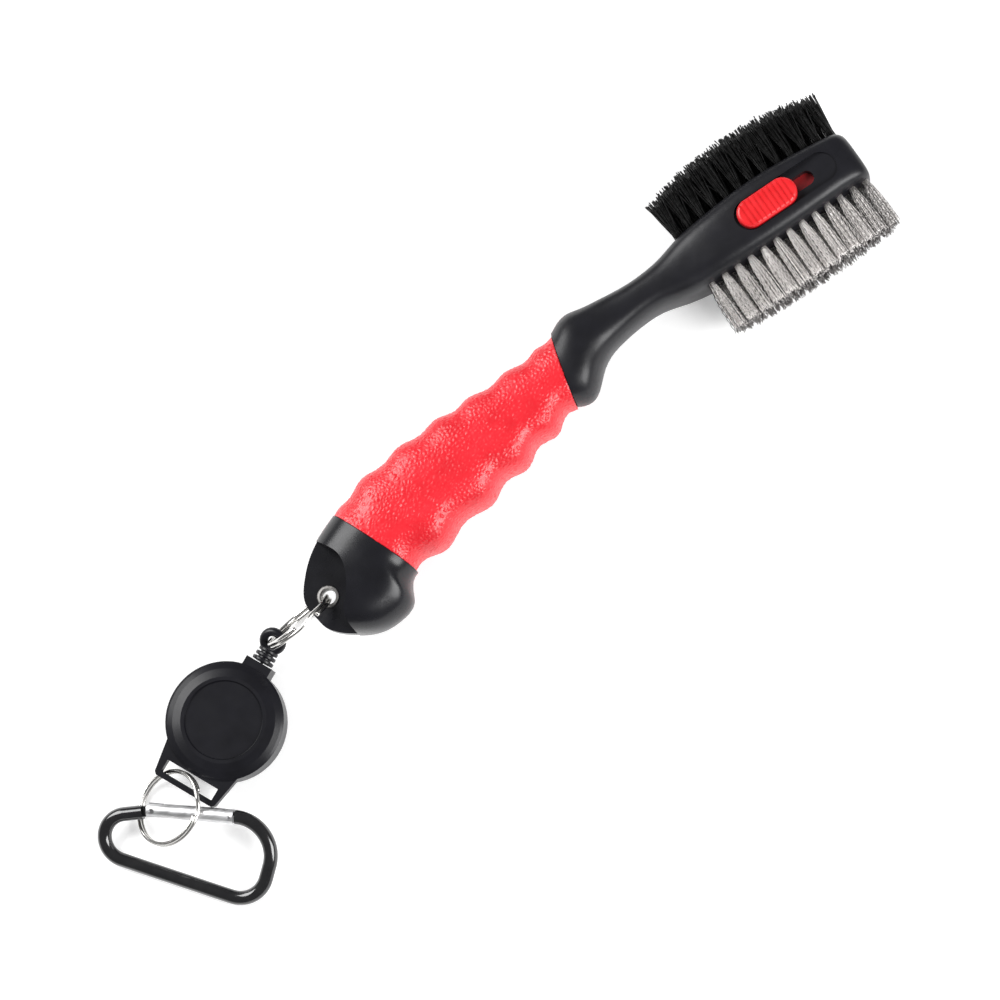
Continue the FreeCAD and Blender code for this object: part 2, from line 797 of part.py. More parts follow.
def wave(x, crests, height):
    """The height of a row of rounded finger waves, nothing outside its first and last crest."""
    for here, following in zip(crests, crests[1:]):
        if here < x <= following:
            return height * math.cos(2 * math.pi * (x - here) / (following - here))
    return 0


def grip_stations():
    """Ovals at even steps along the handle."""
    step = size("grip_step")
    for number in range(int(GRIP_LENGTH / step)):
        x = GRIP_START + number * step
        top = blend_through(GRIP_TOP, x) + wave(x, TOP_CRESTS, TOP_WAVE_HEIGHT)
        bottom = blend_through(GRIP_BOTTOM, x) - wave(x, BOTTOM_CRESTS, BOTTOM_WAVE_HEIGHT)
        depth = blend_through(GRIP_HALF_DEPTH, x)
        squareness = blend_through(GRIP_SQUARENESS, x)
        yield x, (top + bottom) / 2, (top - bottom) / 2, -depth, depth, squareness


def grip_sleeve():
    body = new_body("grip_sleeve")
    loft(body, grip_stations(), "grip_loft")
    for seam, slant, beyond, name in (
        ("neck_seam", "neck_seam_slant", 1, "neck_end"),
        ("cap_seam", "cap_seam_slant", -1, "cap_end"),
    ):
        lean = size(slant) if name == "neck_end" else -size(slant)
        trim = new_sketch(body, "XY_Plane", f"{name}_plan", -BEYOND / 2)
        corners = seam_side(size(seam), lean, beyond)
        draw_polygon(trim, [(f"{x:.4f}", f"{y:.4f}") for x, y in corners])
        pocket(body, trim, BEYOND, name, towards_normal=True)
    core = new_sketch(body, "YZ_Plane", "core_plan", -BEYOND)
    half_width, half_depth = "Sizes.tang_width / 2", "Sizes.tang_depth / 2"
    draw_rectangle(
        core,
        (f"Sizes.tang_middle - {half_width}", f"-{half_depth}"),
        (f"Sizes.tang_middle + {half_width}", half_depth),
    )
    pocket(body, core, 2 * BEYOND, "core", towards_normal=True)
    body.Placement = HANDLE
    return body


CAP_STATIONS = (
    # x, top y, bottom y, half depth, squareness
    (-57.0, -3.0, -8.6, 7.0, 2.6),
    (-56.4, -0.4, -10.9, 8.8, 2.6),
    (-54.8, 2.0, -13.6, 10.2, 2.6),
    (-52.0, 4.6, -16.6, 11.1, 2.6),
    (-48.0, 7.5, -19.8, 11.5, 2.6),
    (-43.0, 9.9, -21.8, 11.55, 2.6),
    (-38.0, 11.4, -22.2, 11.55, 2.5),
    (-34.5, 12.2, -21.2, 11.55, 2.5),
    (-32.2, 12.7, -18.4, 11.5, 2.4),
    (-30.0, 13.1, -16.0, 11.5, 2.4),
    (-26.0, 13.6, -15.4, 11.5, 2.4),
    (-20.0, 13.9, -15.2, 11.5, 2.4),
)
STEP_LINE = ((-42.6, 14.0), (-41.9, 6.8), (-40.5, 1.2), (-41.8, -3.2), (-46.6, -9.0),
             (-50.2, -12.4), (-51.4, -17.8), (-51.6, -26.0))


def end_cap():
    body = new_body("end_cap")
    stations = [
        (x, (top + bottom) / 2, (top - bottom) / 2, -depth, depth, squareness)
        for x, top, bottom, depth, squareness in CAP_STATIONS
    ]
    loft(body, stations, "cap_loft")

    trim = new_sketch(body, "XY_Plane", "cap_seam_plan", -BEYOND / 2)
    corners = seam_side(size("cap_seam"), -size("cap_seam_slant"), 1)
    draw_polygon(trim, [(f"{x:.4f}", f"{y:.4f}") for x, y in corners])
    pocket(body, trim, BEYOND, "cap_seam_cut", towards_normal=True)

    for side in 1, -1:
        step = new_sketch(
            body, "XY_Plane", f"web_plan_{side + 2}", f"{side} * Sizes.web_thickness / 2"
        )
        draw_step(step)
        pocket(body, step, "14", f"web_side_{side + 2}", towards_normal=side > 0)

    hole = new_sketch(body, "XY_Plane", "eyelet_hole_plan", "-20")
    draw_circle(
        hole, "Sizes.eyelet_bore + Sizes.eyelet_wall", "Sizes.eyelet_x", "Sizes.eyelet_y"
    )
    pocket(body, hole, "40", "eyelet_hole", towards_normal=True)

    socket = new_sketch(body, "YZ_Plane", "tang_socket_plan", "Sizes.tang_end")
    half_width, half_depth = "Sizes.tang_width / 2", "Sizes.tang_depth / 2"
    draw_rectangle(
        socket,
        (f"Sizes.tang_middle - {half_width}", f"-{half_depth}"),
        (f"Sizes.tang_middle + {half_width}", half_depth),
    )
    pocket(body, socket, "60", "tang_socket", towards_normal=True)
    body.Placement = HANDLE
    return body


def draw_step(sketch):
    """The plan of the recess beside the web: a smooth step line closed round the cap's end."""
    curve = Part.BSplineCurve()
    curve.interpolate([V(x, y, 0) for x, y in STEP_LINE])
    first, last = V(*STEP_LINE[0], 0), V(*STEP_LINE[-1], 0)
    outer_high, outer_low = V(-BEYOND, first.y, 0), V(-BEYOND, last.y, 0)
    sketch.addGeometry(curve, False)
    for start, end in ((last, outer_low), (outer_low, outer_high), (outer_high, first)):
        sketch.addGeometry(Part.LineSegment(start, end), False)


def ring_eyelet():
    """A tubular rivet through the web, with a rolled flange on each face."""
    bore, outer = "Sizes.eyelet_bore", "Sizes.eyelet_bore + Sizes.eyelet_wall"
    face, flange = "Sizes.web_thickness / 2", "Sizes.eyelet_flange"
    body = turned(
        "ring_eyelet",
        [
            (bore, f"-{face} - 0.25"),
            (f"{bore} + 0.2", f"-{face} - 0.45"),
            (f"{flange} - 0.25", f"-{face} - 0.4"),
            (flange, f"-{face}"),
            (outer, f"-{face}"),
            (outer, face),
            (flange, face),
            (f"{flange} - 0.25", f"{face} + 0.4"),
            (f"{bore} + 0.2", f"{face} + 0.45"),
            (bore, f"{face} + 0.25"),
        ],
    )
    body.Placement = FreeCAD.Placement(EYELET, HANDLE.Rotation)
    return body


# ---------------------------------------------------------------- split rings

TURN_SPACING = 0.9


def split_ring(label, placement):
    """Two turns of wire side by side, pressed together into one ring."""
    turns = []
    for side in -1, 1:
        turn = doc.addObject("Part::Torus", f"{label}_turn_{side + 2}")
        turn.setExpression("Radius1", "Sizes.ring_radius")
        turn.setExpression("Radius2", "Sizes.ring_wire")
        lift = side * TURN_SPACING * size("ring_wire")
        turn.Placement = FreeCAD.Placement(V(0, 0, lift), FreeCAD.Rotation())
        turns.append(turn)
    ring = combine("Fuse", label, *turns)
    ring.Placement = placement
    return ring


# ---------------------------------------------------------------- reel

CORD_START = 12.8
CORD_GRIP = 3.0


def cord_height():
    return size("reel_thickness") / 2


STEM_RADIUS, STEM_START_GAP, STEM_END = 2.0, 0.3, 23.4
RIB_RADII, RIB_PITCH, RIB_WIDTH, RIB_ROUNDING = (3.2, 3.05, 2.9), 1.5, 1.1, 0.35
BRIDGE_OVERLAP, BRIDGE_ROOT_RADIUS, BRIDGE_TIP_RADIUS = 1.2, 1.9, 1.15


def cord_end_loop():
    """The ribbed stem on the cord's end and its loop, tilted up to meet the ring."""
    height = cord_height()
    stem_start = size("mouth_front") + STEM_START_GAP
    parts = [
        Part.makeCylinder(STEM_RADIUS, STEM_END - stem_start, V(stem_start, 0, height), X_AXIS)
    ]
    for number, radius in enumerate(RIB_RADII):
        start = stem_start + 0.1 + RIB_PITCH * number
        rib = Part.makeCylinder(radius, RIB_WIDTH, V(start, 0, height), X_AXIS)
        rounded = [edge for edge in rib.Edges if edge.Curve.TypeId == "Part::GeomCircle"]
        parts.append(rib.makeFillet(RIB_ROUNDING, rounded))
    centre = REEL.inverse().multVec(LOOP)
    torus = Part.makeTorus(size("loop_ring_radius"), size("loop_wire"))
    tilt = FreeCAD.Rotation(Y_AXIS, -size("loop_tilt"))
    torus.Placement = FreeCAD.Placement(centre, tilt)
    near = centre + tilt.multVec(V(-size("loop_ring_radius"), 0, 0))
    root = V(STEM_END - BRIDGE_OVERLAP, 0, height)
    bridge = near - root
    parts.append(
        Part.makeCone(BRIDGE_ROOT_RADIUS, BRIDGE_TIP_RADIUS, bridge.Length, root, bridge)
    )
    parts.append(torus)
    whole = parts[0].multiFuse(parts[1:])
    bore = Part.makeCylinder(
        size("cord_radius"), CORD_GRIP, V(size("mouth_front"), 0, height), X_AXIS
    )
    return shape_feature("cord_end_loop", whole.cut(bore), REEL)


CASE_FLOOR, POST_COLLAR_HEIGHT, POST_TOP = 1.2, 1.45, 7.4
LUG_ROOT_X, LUG_ROOT_HALF, LUG_INNER_X, LUG_INNER_HALF = -11.7, 11.6, -15.7, 5.5
LUG_END_HALF, LUG_CORNER = 9.9, 0.8
MOUTH_HALF, MOUTH_BOTTOM, MOUTH_TOP, MOUTH_OVERLAP = 4.1, 1.6, 7.6, 1.1
BORE_CLEARANCE = 0.5


def reel_back_case():
    radius, wall, parting = "Sizes.reel_radius", "Sizes.reel_wall", "Sizes.reel_parting"
    post = "Sizes.post_radius"
    floor, collar = f"{CASE_FLOOR}", f"{POST_COLLAR_HEIGHT}"
    body = turned(
        "reel_back_case",
        [
            ("0", "0"),
            (f"{radius} - 1.6", "0"),
            (f"{radius} - 0.5", "0.5"),
            (radius, "1.7"),
            (radius, parting),
            (f"{radius} - {wall}", parting),
            (f"{radius} - {wall}", floor),
            (f"{post} + 1.2", floor),
            (f"{post} + 1.2", collar),
            (post, collar),
            (post, f"{POST_TOP}"),
            ("0", f"{POST_TOP}"),
        ],
    )
    lug = new_sketch(body, "XY_Plane", "lug_plan", "Sizes.lug_bottom")
    end, bevel = "-Sizes.lug_end", f"-Sizes.lug_end + {LUG_CORNER}"
    draw_polygon(
        lug,
        [
            (f"{LUG_ROOT_X}", f"-{LUG_ROOT_HALF}"),
            (bevel, f"-{LUG_END_HALF}"),
            (end, f"{LUG_CORNER} - {LUG_END_HALF}"),
            (end, f"{LUG_END_HALF} - {LUG_CORNER}"),
            (bevel, f"{LUG_END_HALF}"),
            (f"{LUG_ROOT_X}", f"{LUG_ROOT_HALF}"),
            (f"{LUG_INNER_X}", f"{LUG_INNER_HALF}"),
            (f"{LUG_INNER_X}", f"-{LUG_INNER_HALF}"),
        ],
    )
    pad(body, lug, "Sizes.lug_thickness", "lug")
    slot = new_sketch(body, "XY_Plane", "lug_slot_plan", "Sizes.lug_bottom - 1")
    half = "Sizes.slot_half_length"
    draw_rectangle(slot, ("-Sizes.slot_far", f"-{half}"), ("-Sizes.slot_near", half))
    pocket(body, slot, "Sizes.lug_thickness + 2", "lug_slot", towards_normal=True)
    mouth = new_sketch(body, "YZ_Plane", "mouth_plan", f"{radius} - {MOUTH_OVERLAP}")
    draw_rectangle(
        mouth,
        (f"-{MOUTH_HALF}", f"{MOUTH_BOTTOM}"),
        (f"{MOUTH_HALF}", f"{MOUTH_TOP}"),
    )
    pad(body, mouth, f"Sizes.mouth_front - {radius} + {MOUTH_OVERLAP}", "mouth")
    bore = new_sketch(body, "YZ_Plane", "cord_bore_plan", "Sizes.spool_radius")
    draw_circle(
        bore, f"Sizes.cord_radius + {BORE_CLEARANCE}", "0", "Sizes.reel_thickness / 2"
    )
    pocket(body, bore, "9", "cord_bore", towards_normal=True)
    body.Placement = REEL
    return body


FACE_RECESS_RADIUS, FACE_RECESS_DEPTH = 11.0, 0.5
COVER_UNDERSIDE, LIP_THICKNESS, LIP_DEPTH = 7.5, 0.9, 1.2


def reel_front_cover():
    """The domed front, with a shallow round recess and a lip inside the back case's wall."""
    radius, wall, parting = "Sizes.reel_radius", "Sizes.reel_wall", "Sizes.reel_parting"
    top, face = "Sizes.reel_thickness", f"Sizes.reel_thickness - {FACE_RECESS_DEPTH}"
    lip, lip_inner = f"{radius} - {wall}", f"{radius} - {wall} - {LIP_THICKNESS}"
    body = turned(
        "reel_front_cover",
        [
            (radius, parting),
            (radius, f"{top} - 1.8"),
            (f"{radius} - 0.7", f"{top} - 1.3"),
            (f"{radius} - 2.2", f"{top} - 0.6"),
            (f"{radius} - 4.6", top),
            (f"{FACE_RECESS_RADIUS} + 0.15", top),
            (f"{FACE_RECESS_RADIUS} - 0.15", face),
            ("0", face),
            ("0", f"{COVER_UNDERSIDE}"),
            (f"{radius} - 3.4", f"{COVER_UNDERSIDE}"),
            (lip_inner, parting),
            (lip_inner, f"{parting} - {LIP_DEPTH}"),
            (lip, f"{parting} - {LIP_DEPTH}"),
            (lip, parting),
        ],
    )
    mouth = new_sketch(body, "YZ_Plane", "cover_mouth_plan", "Sizes.spool_radius")
    draw_rectangle(mouth, (f"-{MOUTH_HALF}", "3"), (f"{MOUTH_HALF}", f"{MOUTH_TOP}"))
    pocket(body, mouth, "9", "cover_mouth", towards_normal=True)
    body.Placement = REEL
    return body


SPOOL_HEIGHTS = ("1.5", "2.1", "6.5", "7.1")
DRUM_WALL, WINDING_DEPTH = 0.9, 3.4


def reel_spool():
    """The drum between its two flanges, open inside for the spring above the lower one."""
    flange, drum = "Sizes.spool_radius", "Sizes.drum_radius"
    bore, inside = "Sizes.post_radius + Sizes.running_gap", f"Sizes.drum_radius - {DRUM_WALL}"
    bottom, low, high, top = SPOOL_HEIGHTS
    body = turned(
        "reel_spool",
        [
            (bore, bottom),
            (flange, bottom),
            (flange, low),
            (drum, low),
            (drum, high),
            (flange, high),
            (flange, top),
            (inside, top),
            (inside, low),
            (bore, low),
        ],
    )
    body.Placement = REEL
    return body


def cord_winding():
    """The wound cord, as the solid ring that its layers fill."""
    drum, outer = "Sizes.drum_radius", f"Sizes.drum_radius + {WINDING_DEPTH}"
    _, low, high, _ = SPOOL_HEIGHTS
    body = turned("cord_winding", [(drum, low), (outer, low), (outer, high), (drum, high)])
    body.Placement = REEL
    return body


def reel_spring():
    """A spiral strip from the post outwards, drawn as half turns of growing radius."""
    strip, gap = 0.35, 0.45
    low, height = 2.4, 4.2
    half_turns = 10
    radius, centre = size("post_radius") + size("running_gap"), 0.0
    turns = []
    for number in range(half_turns):
        side = 1 if number % 2 == 0 else -1
        ring = Part.makeCylinder(radius + strip, height, V(centre, 0, low))
        ring = ring.cut(Part.makeCylinder(radius, height, V(centre, 0, low)))
        half = Part.makeBox(40, 20, height, V(-20, 0 if side > 0 else -20, low))
        turns.append(ring.common(half))
        centre -= side * (strip + gap) / 2
        radius += (strip + gap) / 2
    whole = turns[0].multiFuse(turns[1:]).removeSplitter()
    return shape_feature("reel_spring", whole, REEL)


def reel_cord():
    """The last of the cord, from the winding to the ribbed end."""
    length = f"Sizes.mouth_front + {CORD_GRIP} - {CORD_START}"
    cord = cylinder("reel_cord", "Sizes.cord_radius", length)
    cord.Placement = REEL.multiply(
        FreeCAD.Placement(V(CORD_START, 0, cord_height()), FreeCAD.Rotation(Z_AXIS, X_AXIS))
    )
    return cord


# ---------------------------------------------------------------- carabiner

SMALL_END = V(-17.2, -6.5, 0)
SMALL_RADIUS = 6.6
CORNER = V(15.9, -5.1, 0)
CORNER_RADIUS = 8.0
NOSE = V(13.5, -1.3, 0)
NOSE_RADIUS = 10.4
ARM_DIRECTION = 24.0
ARM_LENGTH = 5.7
TONGUE_REACH = 5.4
TONGUE_RADIUS = 1.45
FORK_SLOT = 1.8
TONGUE_THICKNESS = 1.5
LATCH_X = 21.1
LATCH_THICKNESS = 1.4
LATCH_PIN_X = 22.2
LATCH_PIN_RADIUS = 0.5


def at_angle(centre, radius, degrees):
    turn = math.radians(degrees)
    return centre + V(math.cos(turn), math.sin(turn), 0) * radius


def rod_path():
    """The rod's centreline: arm, small end, spine, corner and nose, all tangent."""
    arm_start = at_angle(SMALL_END, SMALL_RADIUS, 90 + ARM_DIRECTION)
    arm_end = arm_start + at_angle(V(), ARM_LENGTH, ARM_DIRECTION)
    spine_left, spine_right = V(SMALL_END.x, -SPINE_OFFSET, 0), V(CORNER.x, -SPINE_OFFSET, 0)
    side_low = CORNER + V(CORNER_RADIUS, 0, 0)
    side_high = NOSE + V(NOSE_RADIUS, 0, 0)
    nose_end = at_angle(NOSE, NOSE_RADIUS, 90 + size("gate_turn"))
    edges = [
        Part.LineSegment(arm_end, arm_start),
        Part.Arc(arm_start, at_angle(SMALL_END, SMALL_RADIUS, 200), spine_left),
        Part.LineSegment(spine_left, spine_right),
        Part.Arc(spine_right, at_angle(CORNER, CORNER_RADIUS, -45), side_low),
        Part.LineSegment(side_low, side_high),
        Part.Arc(side_high, at_angle(NOSE, NOSE_RADIUS, 50), nose_end),
    ]
    return Part.Wire([edge.toShape() for edge in edges])


def carabiner_body():
    """The bent rod with a flat tongue at each end: one for the hinge, one for the latch."""
    path = rod_path()
    start, direction = path.Edges[0].Vertexes[0].Point, at_angle(V(), 1, ARM_DIRECTION + 180)
    ring = Part.Wire([Part.makeCircle(size("rod_radius"), start, direction)])
    rod = path.makePipeShell([ring], True, False)
    reach, half, thickness = TONGUE_REACH, TONGUE_RADIUS, TONGUE_THICKNESS
    tongue = Part.makeBox(reach, 2 * half, thickness, V(-reach, -half, -thickness / 2))
    tongue = tongue.fuse(Part.makeCylinder(half, thickness, V(0, 0, -thickness / 2)))
    tongue = tongue.cut(Part.makeCylinder(size("pin_radius"), 4, V(0, 0, -2)))
    tongue.Placement = FreeCAD.Placement(
        HINGE_POINT, FreeCAD.Rotation(Z_AXIS, ARM_DIRECTION)
    )
    low = -LATCH_THICKNESS / 2
    latch = Part.makeBox(4.4, 1.1, LATCH_THICKNESS, V(LATCH_X, 0.6, low))
    latch = latch.fuse(Part.makeBox(0.5, 1.0, LATCH_THICKNESS, V(LATCH_X, -0.3, low)))
    latch.Placement = FreeCAD.Placement(
        HINGE_POINT, FreeCAD.Rotation(Z_AXIS, size("gate_turn"))
    )
    return shape_feature("carabiner_body", rod.multiFuse([tongue, latch]), CARABINER)


GATE_BACK = 1.6
SPRING_BORE_START, SPRING_BORE_LENGTH, SPRING_BORE_RADIUS = 2.9, 11, 1.0


def carabiner_gate():
    """A bright bar with a fork at each end and a bore for the spring, along its own X."""
    radius, length = size("gate_radius"), size("gate_length")
    fork = FORK_SLOT
    bar = Part.makeCylinder(radius, length + GATE_BACK, V(-GATE_BACK, 0, 0), X_AXIS)
    bar = bar.cut(Part.makeBox(3 + GATE_BACK, 8, fork, V(-GATE_BACK, -4, -fork / 2)))
    bar = bar.cut(Part.makeBox(4, 8, fork, V(LATCH_X - 0.4, -4, -fork / 2)))
    bore = Part.makeCylinder(
        SPRING_BORE_RADIUS, SPRING_BORE_LENGTH, V(SPRING_BORE_START, 0, 0), X_AXIS
    )
    hinge_hole = Part.makeCylinder(size("pin_radius") + size("running_gap"), 8, V(0, 0, -4))
    latch_hole = Part.makeCylinder(LATCH_PIN_RADIUS, 8, V(LATCH_PIN_X, 0, -4))
    for hole in bore, hinge_hole, latch_hole:
        bar = bar.cut(hole)
    return shape_feature("carabiner_gate", bar, GATE)


def gate_pin(label, radius, x, height):
    pin = cylinder(label, radius, height)
    pin.Placement = GATE.multiply(FreeCAD.Placement(V(x, 0, -value(height) / 2), FreeCAD.Rotation()))
    return pin


PLUNGER_START, PLUNGER_LENGTH, PLUNGER_RADIUS, PLUNGER_FACE = 2.0, 2.8, 0.85, 1.6


def gate_spring():
    """A short coil in the gate's bore."""
    wire, radius, pitch, turns = 0.12, 0.72, 0.55, 14
    helix = Part.makeHelix(pitch, pitch * turns, radius)
    ring = Part.Wire([Part.makeCircle(wire, V(radius, 0, 0), Y_AXIS)])
    coil = Part.Wire(helix.Edges).makePipeShell([ring], True, True)
    place = FreeCAD.Placement(
        V(PLUNGER_START + PLUNGER_LENGTH + 0.2, 0, 0), FreeCAD.Rotation(Z_AXIS, X_AXIS)
    )
    return shape_feature("gate_spring", coil, GATE.multiply(place))


def gate_plunger():
    """The pin that the spring presses against the hinge tongue."""
    start = V(PLUNGER_START, 0, 0)
    pin = Part.makeCylinder(PLUNGER_RADIUS, PLUNGER_LENGTH, start, X_AXIS)
    nose = Part.makeSphere(PLUNGER_RADIUS, start)
    whole = pin.fuse(nose).common(Part.makeBox(4, 4, 4, V(PLUNGER_FACE, -2, -2)))
    return shape_feature("gate_plunger", whole, GATE)


# ---------------------------------------------------------------- the whole object

NODES = [
    brush_frame(),
    bristles("nylon_bristles", 1, "nylon_reach", NYLON_BOW),
    bristles("wire_bristles", -1, "wire_reach", WIRE_BOW),
    tuft_anchors("nylon_tuft_anchors", 1),
    tuft_anchors("wire_tuft_anchors", -1),
    slider_button(),
    slider_carrier(),
    groove_spike(),
    head_back_cover(),
    cover_screws(),
    grip_sleeve(),
    end_cap(),
    ring_eyelet(),
    split_ring("brush_split_ring", BRUSH_RING),
    cord_end_loop(),
    reel_cord(),
    reel_back_case(),
    reel_front_cover(),
    reel_spool(),
    cord_winding(),
    reel_spring(),
    split_ring("reel_split_ring", HOOK_RING),
    carabiner_body(),
    carabiner_gate(),
    gate_pin("gate_hinge_pin", "Sizes.pin_radius", 0, "3.3"),
    gate_pin("gate_latch_pin", str(LATCH_PIN_RADIUS), LATCH_PIN_X, "3.0"),
    gate_spring(),
    gate_plunger(),
]
doc.recompute()

for item in doc.Objects:
    if "Invalid" in item.State or "Error" in item.State:
        raise RuntimeError(f"{item.Label} failed: {item.State}")
for node in NODES:
    if node.Shape.isNull() or not node.Shape.isValid():
        raise RuntimeError(f"{node.Label} has no valid shape")

os.makedirs("parts", exist_ok=True)
for node in NODES:
    node.Shape.exportStep(f"parts/{node.Label}.step")
    extent = node.Shape.BoundBox
    print(f"{node.Label}: {len(node.Shape.Solids)} solids, z {extent.ZMin:.2f} to {extent.ZMax:.2f}")
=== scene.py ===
"""Looks of the club groove brush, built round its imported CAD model.

Row frame: the brush lies on its back on z = 0, +X runs along the head towards its tip and +Y
towards the nylon bristles. Numbers are in millimetres until mesh_piece() turns them into metres.
"""

import math
import random

import bpy
import numpy as np
from mathutils import Matrix, Vector


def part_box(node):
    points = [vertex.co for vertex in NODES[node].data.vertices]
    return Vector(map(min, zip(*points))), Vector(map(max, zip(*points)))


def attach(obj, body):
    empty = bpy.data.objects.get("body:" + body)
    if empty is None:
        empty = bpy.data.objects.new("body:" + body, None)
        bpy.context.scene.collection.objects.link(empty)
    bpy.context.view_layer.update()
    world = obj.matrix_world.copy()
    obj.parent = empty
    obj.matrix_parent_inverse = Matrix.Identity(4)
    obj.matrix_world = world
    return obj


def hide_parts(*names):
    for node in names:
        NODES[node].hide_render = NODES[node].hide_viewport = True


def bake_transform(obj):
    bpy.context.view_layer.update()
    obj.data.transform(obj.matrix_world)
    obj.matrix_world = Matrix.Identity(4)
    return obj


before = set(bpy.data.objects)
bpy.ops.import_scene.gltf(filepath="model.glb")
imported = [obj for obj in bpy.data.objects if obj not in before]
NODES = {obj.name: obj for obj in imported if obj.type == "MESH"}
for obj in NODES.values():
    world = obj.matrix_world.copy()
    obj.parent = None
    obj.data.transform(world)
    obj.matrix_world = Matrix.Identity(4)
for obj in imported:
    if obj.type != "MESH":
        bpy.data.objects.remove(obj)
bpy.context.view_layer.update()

MM = 0.001
SEED = 41


# ---------------------------------------------------------------- camera, floor and light

CAMERA_TILT = math.radians(13)
CAMERA_ROLL = math.radians(34)
CAMERA_DISTANCE = 1050
CAMERA_TARGET = Vector((-107.3, -24.9, 11.75))
FRAME_WIDTH = 277
SENSOR = 36
LIGHT_TARGET = Vector((-110, -25, 10))
FLOOR_WIDTH_M = 6


def view_axes():
    """The directions right and up in the picture, and out of it."""
    along = Vector((1, 0, 0))
    across = Vector((0, math.cos(CAMERA_TILT), math.sin(CAMERA_TILT)))
    right = along * math.cos(CAMERA_ROLL) - across * math.sin(CAMERA_ROLL)
    up = along * math.sin(CAMERA_ROLL) + across * math.cos(CAMERA_ROLL)
    return right, up, right.cross(up)


def add_camera():
    """A long lens that looks down on the brush as it lies."""
    right, up, out = view_axes()
    data = bpy.data.cameras.new("camera")
    data.sensor_width = SENSOR
    data.lens = SENSOR * CAMERA_DISTANCE / FRAME_WIDTH
    data.clip_start = 0.01
    camera = bpy.data.objects.new("camera", data)
    turn = Matrix((right, up, out)).transposed().to_4x4()
    camera.matrix_world = Matrix.Translation((CAMERA_TARGET + out * CAMERA_DISTANCE) * MM) @ turn
    bpy.context.collection.objects.link(camera)
    bpy.context.scene.camera = camera


def add_area_light(name, place, size, watts):
    """A square soft box at a place in millimetres, facing the object."""
    data = bpy.data.lights.new(name, "AREA")
    data.shape = "SQUARE"
    data.size = size * MM
    data.energy = watts
    light = bpy.data.objects.new(name, data)
    place, target = Vector(place) * MM, LIGHT_TARGET * MM
    light.location = place
    light.rotation_euler = (target - place).to_track_quat("-Z", "Y").to_euler()
    bpy.context.collection.objects.link(light)


def add_world(strength):
    """An even white surround."""
    bpy.context.scene.view_settings.view_transform = "Standard"
    world = bpy.data.worlds.new("studio")
    world.use_nodes = True
    background = world.node_tree.nodes["Background"]
    background.inputs["Color"].default_value = (1, 1, 1, 1)
    background.inputs["Strength"].default_value = strength
    bpy.context.scene.world = world


def add_floor():
    bpy.ops.mesh.primitive_plane_add(size=FLOOR_WIDTH_M, location=(0, 0, 0))
    floor = bpy.context.object
    floor.name = "floor"
    return floor


# ---------------------------------------------------------------- materials

class Surface:
    """A principled material under construction, with noise fields in the object's own space."""

    def __init__(self, name, colour, roughness, metallic=0.0):
        self.material = bpy.data.materials.new(name)
        self.material.use_nodes = True
        self.tree = self.material.node_tree
        self.shader = self.tree.nodes["Principled BSDF"]
        self.place = self.tree.nodes.new("ShaderNodeTexCoord").outputs["Object"]
        self.height = None
        self.set("Base Color", (*colour, 1))
        self.set("Roughness", roughness)
        self.set("Metallic", metallic)

    def set(self, socket, value):
        self.shader.inputs[socket].default_value = value

    def link(self, output, target):
        self.tree.links.new(output, target)

    def noise(self, size, detail=3.0, stretch=(1, 1, 1)):
        """Noise whose features are about this many millimetres across."""
        mapping = self.tree.nodes.new("ShaderNodeMapping")
        mapping.inputs["Scale"].default_value = stretch
        self.link(self.place, mapping.inputs["Vector"])
        field = self.tree.nodes.new("ShaderNodeTexNoise")
        field.inputs["Scale"].default_value = 1 / (size * MM)
        field.inputs["Detail"].default_value = detail
        self.link(mapping.outputs["Vector"], field.inputs["Vector"])
        return field.outputs["Fac"]

    def height_above_base(self):
        """0 where the head rests and 1 at its top, shaken by a fine noise."""
        parts = self.tree.nodes.new("ShaderNodeSeparateXYZ")
        self.link(self.place, parts.inputs["Vector"])
        level = self.span(parts.outputs["Z"], 0, 1, 0, HEAD_HEIGHT * MM)
        shaken = self.tree.nodes.new("ShaderNodeMath")
        shaken.operation = "ADD"
        self.link(level, shaken.inputs[0])
        self.link(self.span(self.noise(0.45), -0.2, 0.2), shaken.inputs[1])
        return shaken.outputs["Value"]

    def cells(self, size):
        """Voronoi cells about this many millimetres across, lit in the middle of each."""
        field = self.tree.nodes.new("ShaderNodeTexVoronoi")
        field.feature = "F1"
        field.inputs["Scale"].default_value = 1 / (size * MM)
        self.link(self.place, field.inputs["Vector"])
        return field.outputs["Distance"]

    def span(self, field, low, high, from_low=0.3, from_high=0.7):
        """A field's middle range spread over new limits."""
        node = self.tree.nodes.new("ShaderNodeMapRange")
        for socket, value in (
            ("From Min", from_low), ("From Max", from_high), ("To Min", low), ("To Max", high)
        ):
            node.inputs[socket].default_value = value
        self.link(field, node.inputs["Value"])
        return node.outputs["Result"]

    def vary_roughness(self, field, low, high):
        self.link(self.span(field, low, high), self.shader.inputs["Roughness"])

    def vary_colour(self, field, first, second, from_low=0.3, from_high=0.7):
        ramp = self.tree.nodes.new("ShaderNodeValToRGB")
        ramp.color_ramp.elements[0].position = from_low
        ramp.color_ramp.elements[1].position = from_high
        ramp.color_ramp.elements[0].color = (*first, 1)
        ramp.color_ramp.elements[1].color = (*second, 1)
        self.link(field, ramp.inputs["Fac"])
        self.link(ramp.outputs["Color"], self.shader.inputs["Base Color"])

    def bump(self, field, depth, strength=1.0):
        """Relief of this depth in millimetres, on top of any relief before it."""
        node = self.tree.nodes.new("ShaderNodeBump")
        node.inputs["Strength"].default_value = strength
        node.inputs["Distance"].default_value = depth * MM
        self.link(field, node.inputs["Height"])
        if self.height is not None:
            self.link(self.height, node.inputs["Normal"])
        self.height = node.outputs["Normal"]
        self.link(self.height, self.shader.inputs["Normal"])


